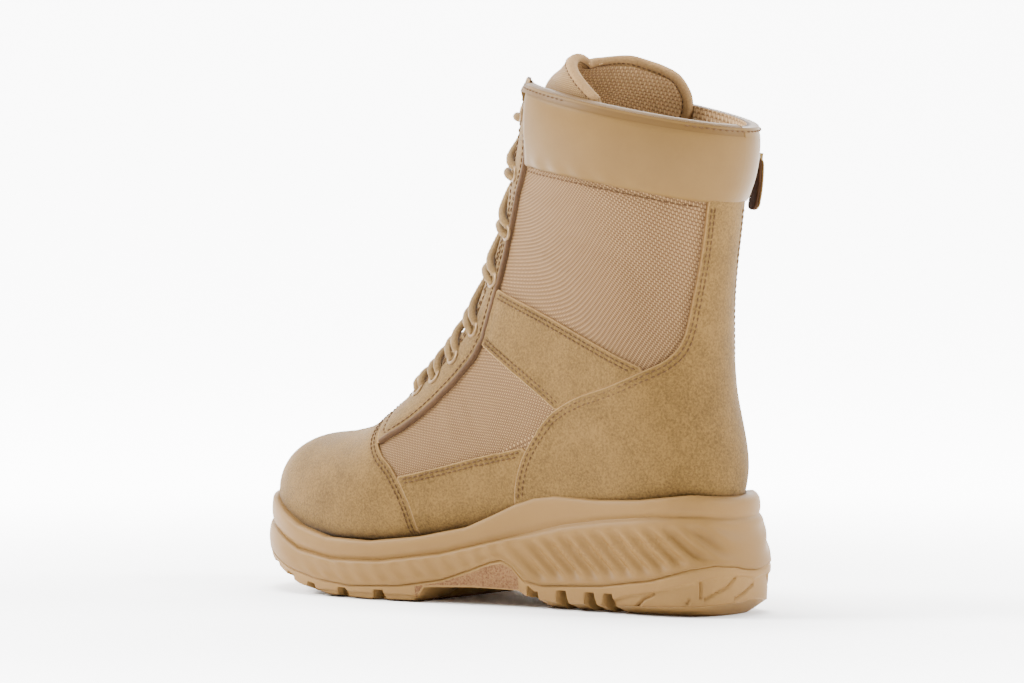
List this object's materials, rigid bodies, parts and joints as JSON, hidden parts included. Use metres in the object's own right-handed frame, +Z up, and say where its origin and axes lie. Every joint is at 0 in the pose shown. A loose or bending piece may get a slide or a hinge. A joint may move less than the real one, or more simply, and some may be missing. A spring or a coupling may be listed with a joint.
{
  "type": "combat boot",
  "caption": "Tall lace-up field boot for the left foot, with a hollow upper, padded collar, safety toe, side zip and lugged sole; worn for work outdoors.",
  "frame": {"origin": "on the floor, at the middle of the flat spot under the heel", "axes": "+Z up, the toe points to -Y and the heel to +Y, +X is the outer side of the left foot"},
  "size_m": [0.1077, 0.3015, 0.2766],
  "materials": {
    "suede": "rough suede, coyote tan",
    "nylon": "coarse woven nylon, tan",
    "tongue_nylon": "woven nylon, tan",
    "collar_leather": "smooth padded leather, satin",
    "midsole_foam": "moulded, matte tan",
    "tread_rubber": "moulded, matte light tan",
    "insole_fabric": "felt, brown",
    "lace": "round woven cord, tan",
    "eyelet_metal": "matte tan paint",
    "zip_metal": "aged brass"
  },
  "bodies": {
    "boot": {"outsole": "tread_rubber", "midsole": "midsole_foam", "insole": "insole_fabric", "upper": "nylon", "tongue": "tongue_nylon", "toe_cap": "suede", "heel_counter": "suede", "quarter_band_lateral": "suede", "ankle_strap_lateral": "suede", "eyestay_lateral": "suede", "eyelet_lateral_1": "eyelet_metal", "eyelet_lateral_2": "eyelet_metal", "eyelet_lateral_3": "eyelet_metal", "eyelet_lateral_4": "eyelet_metal", "eyelet_lateral_5": "eyelet_metal", "eyelet_lateral_6": "eyelet_metal", "eyelet_lateral_7": "eyelet_metal", "eyelet_lateral_8": "eyelet_metal", "quarter_band_medial": "suede", "ankle_strap_medial": "suede", "eyestay_medial": "suede", "eyelet_medial_1": "eyelet_metal", "eyelet_medial_2": "eyelet_metal", "eyelet_medial_3": "eyelet_metal", "eyelet_medial_4": "eyelet_metal", "eyelet_medial_5": "eyelet_metal", "eyelet_medial_6": "eyelet_metal", "eyelet_medial_7": "eyelet_metal", "eyelet_medial_8": "eyelet_metal", "collar_pad": "collar_leather", "collar_pad_front": "collar_leather", "lace_1": "lace", "lace_2": "lace", "lace_3": "lace", "lace_4": "lace", "lace_5": "lace", "lace_6": "lace", "lace_7": "lace", "lace_8": "lace", "zip_guard": "suede", "zip_chain": "zip_metal", "zip_slider": "zip_metal"},
    "zip_pull": {"zip_pull": "zip_metal"}
  },
  "joints": [
    {"name": "zip_pull_hinge", "type": "hinge", "parent": "boot", "child": "zip_pull", "pos_m": [-0.04384, 0.01431, 0.22082], "axis": [0.4737, 0.8807, 0], "range_deg": [0, 165]}
  ]
}
